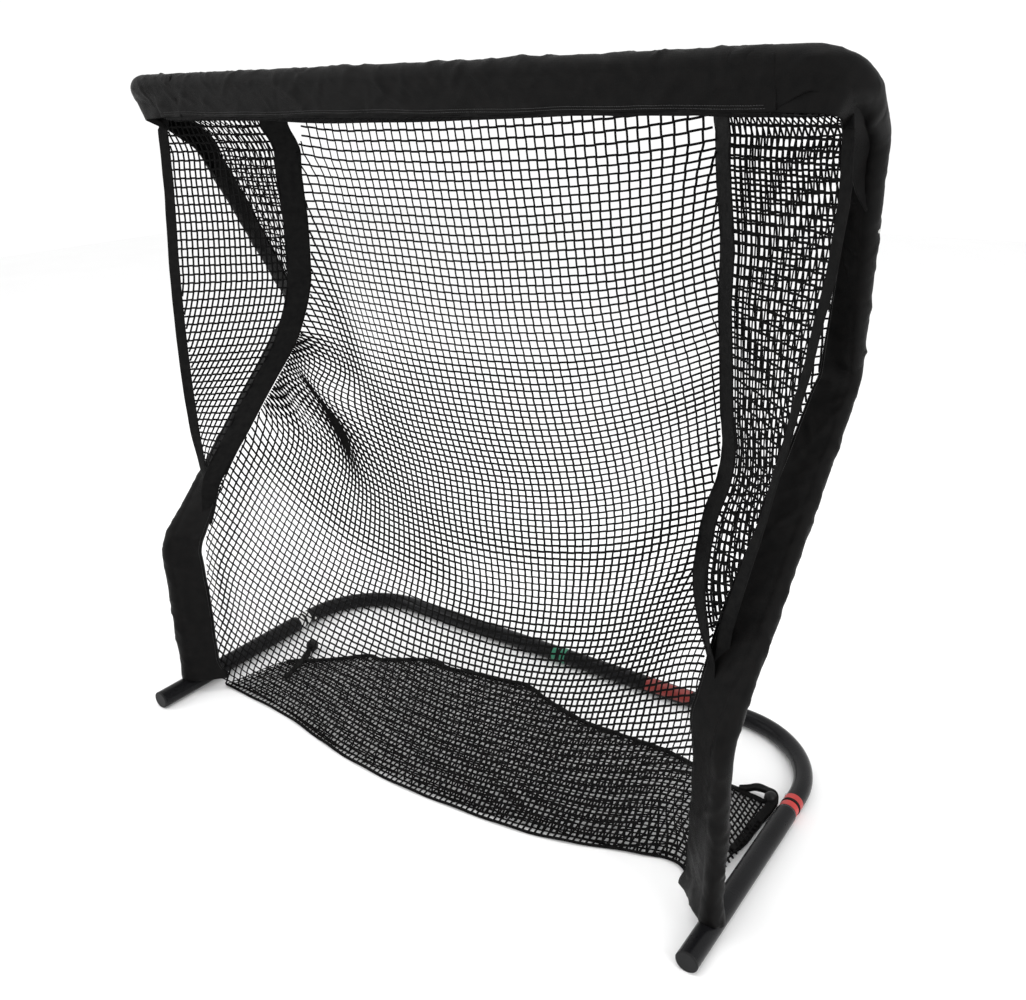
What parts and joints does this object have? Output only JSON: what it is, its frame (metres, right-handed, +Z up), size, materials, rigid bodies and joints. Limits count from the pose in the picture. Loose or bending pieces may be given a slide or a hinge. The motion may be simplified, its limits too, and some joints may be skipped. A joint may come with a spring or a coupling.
{
  "type": "golf chipping net",
  "caption": "Free-standing return net on a tubular U base with bent uprights, fabric sleeves, side wing nets, a floor net and sprung tube buttons.",
  "frame": {"origin": "middle of the footprint on the floor, under the assembled net", "axes": "+X to the right along the top bar as the player faces the net, +Y to the rear, away from the player, +Z up"},
  "size_m": [1.6832, 0.779, 1.5148],
  "materials": {
    "frame_tube": "gloss black powder coat",
    "button_steel": "satin",
    "spring_steel": "satin",
    "plug_plastic": "moulded, satin",
    "band_red": "printed vinyl ring",
    "band_green": "printed vinyl ring",
    "band_white": "printed vinyl ring",
    "label_vinyl": "bare vinyl label",
    "sleeve_fabric": "coated woven polyester, wrinkled",
    "net_cord": "knotless braided polyester cord",
    "binding_tape": "woven polyester tape",
    "ball_plastic": "moulded",
    "tie_elastic": "braided elastic cord"
  },
  "bodies": {
    "frame": {"base_leg_left": "frame_tube", "base_leg_right": "frame_tube", "rear_bow_left": "frame_tube", "rear_bow_right": "frame_tube", "upright_stub_left": "frame_tube", "upright_stub_right": "frame_tube", "lower_upright_left": "frame_tube", "lower_upright_right": "frame_tube", "upper_upright_left": "frame_tube", "upper_upright_right": "frame_tube", "top_bar_left": "frame_tube", "top_bar_right": "frame_tube", "spring_clip_leg_left": "spring_steel", "spring_clip_leg_right": "spring_steel", "spring_clip_foot_left": "spring_steel", "spring_clip_foot_right": "spring_steel", "spring_clip_mid_left": "spring_steel", "spring_clip_mid_right": "spring_steel", "spring_clip_shoulder_left": "spring_steel", "spring_clip_shoulder_right": "spring_steel", "spring_clip_rear": "spring_steel", "spring_clip_top": "spring_steel", "foot_plug_left": "plug_plastic", "foot_plug_right": "plug_plastic", "band_bow_right": "band_red", "band_leg_right": "band_red", "band_rear_left": "band_green", "band_rear_right": "band_green", "band_bow_left": "band_white", "band_leg_left": "band_white", "blank_label": "label_vinyl", "top_sleeve": "sleeve_fabric", "side_sleeve_left": "sleeve_fabric", "side_sleeve_right": "sleeve_fabric", "main_net": "net_cord", "floor_net": "net_cord", "wing_net_left": "net_cord", "wing_net_right": "net_cord", "floor_net_binding": "binding_tape", "wing_tape_left": "binding_tape", "wing_tape_right": "binding_tape", "wing_strip_left": "binding_tape", "wing_strip_right": "binding_tape", "tie_ball_left": "ball_plastic", "tie_ball_right": "ball_plastic", "tie_loop_left": "tie_elastic", "tie_loop_right": "tie_elastic"},
    "button_leg_left": {"snap_button_leg_left": "button_steel"},
    "button_leg_right": {"snap_button_leg_right": "button_steel"},
    "button_foot_left": {"snap_button_foot_left": "button_steel"},
    "button_foot_right": {"snap_button_foot_right": "button_steel"},
    "button_mid_left": {"snap_button_mid_left": "button_steel"},
    "button_mid_right": {"snap_button_mid_right": "button_steel"},
    "button_shoulder_left": {"snap_button_shoulder_left": "button_steel"},
    "button_shoulder_right": {"snap_button_shoulder_right": "button_steel"},
    "button_rear": {"snap_button_rear": "button_steel"},
    "button_top": {"snap_button_top": "button_steel"}
  },
  "joints": [
    {"name": "press_leg_right", "type": "slide", "parent": "frame", "child": "button_leg_right", "axis": [1, 0, 0], "range_m": [0, 0.0045], "stiffness_N_per_m": 800, "springref_m": -0.004, "deforming": ["spring_clip_leg_right"]},
    {"name": "press_foot_right", "type": "slide", "parent": "frame", "child": "button_foot_right", "axis": [0, 1, 0], "range_m": [0, 0.0045], "stiffness_N_per_m": 800, "springref_m": -0.004, "deforming": ["spring_clip_foot_right"]},
    {"name": "press_mid_right", "type": "slide", "parent": "frame", "child": "button_mid_right", "axis": [0, -0.7116, 0.7025], "range_m": [0, 0.0045], "stiffness_N_per_m": 800, "springref_m": -0.004, "deforming": ["spring_clip_mid_right"]},
    {"name": "press_shoulder_right", "type": "slide", "parent": "frame", "child": "button_shoulder_right", "axis": [-0.9921, -0.0527, 0.1138], "range_m": [0, 0.0045], "stiffness_N_per_m": 800, "springref_m": -0.004, "deforming": ["spring_clip_shoulder_right"]},
    {"name": "press_leg_left", "type": "slide", "parent": "frame", "child": "button_leg_left", "axis": [-1, 0, 0], "range_m": [0, 0.0045], "stiffness_N_per_m": 800, "springref_m": -0.004, "deforming": ["spring_clip_leg_left"]},
    {"name": "press_foot_left", "type": "slide", "parent": "frame", "child": "button_foot_left", "axis": [0, 1, 0], "range_m": [0, 0.0045], "stiffness_N_per_m": 800, "springref_m": -0.004, "deforming": ["spring_clip_foot_left"]},
    {"name": "press_mid_left", "type": "slide", "parent": "frame", "child": "button_mid_left", "axis": [0, -0.7116, 0.7025], "range_m": [0, 0.0045], "stiffness_N_per_m": 800, "springref_m": -0.004, "deforming": ["spring_clip_mid_left"]},
    {"name": "press_shoulder_left", "type": "slide", "parent": "frame", "child": "button_shoulder_left", "axis": [0.9921, -0.0527, 0.1138], "range_m": [0, 0.0045], "stiffness_N_per_m": 800, "springref_m": -0.004, "deforming": ["spring_clip_shoulder_left"]},
    {"name": "press_rear", "type": "slide", "parent": "frame", "child": "button_rear", "axis": [0, -1, 0], "range_m": [0, 0.0045], "stiffness_N_per_m": 800, "springref_m": -0.004, "deforming": ["spring_clip_rear"]},
    {"name": "press_top", "type": "slide", "parent": "frame", "child": "button_top", "axis": [0, -1, 0], "range_m": [0, 0.0045], "stiffness_N_per_m": 800, "springref_m": -0.004, "deforming": ["spring_clip_top"]}
  ]
}
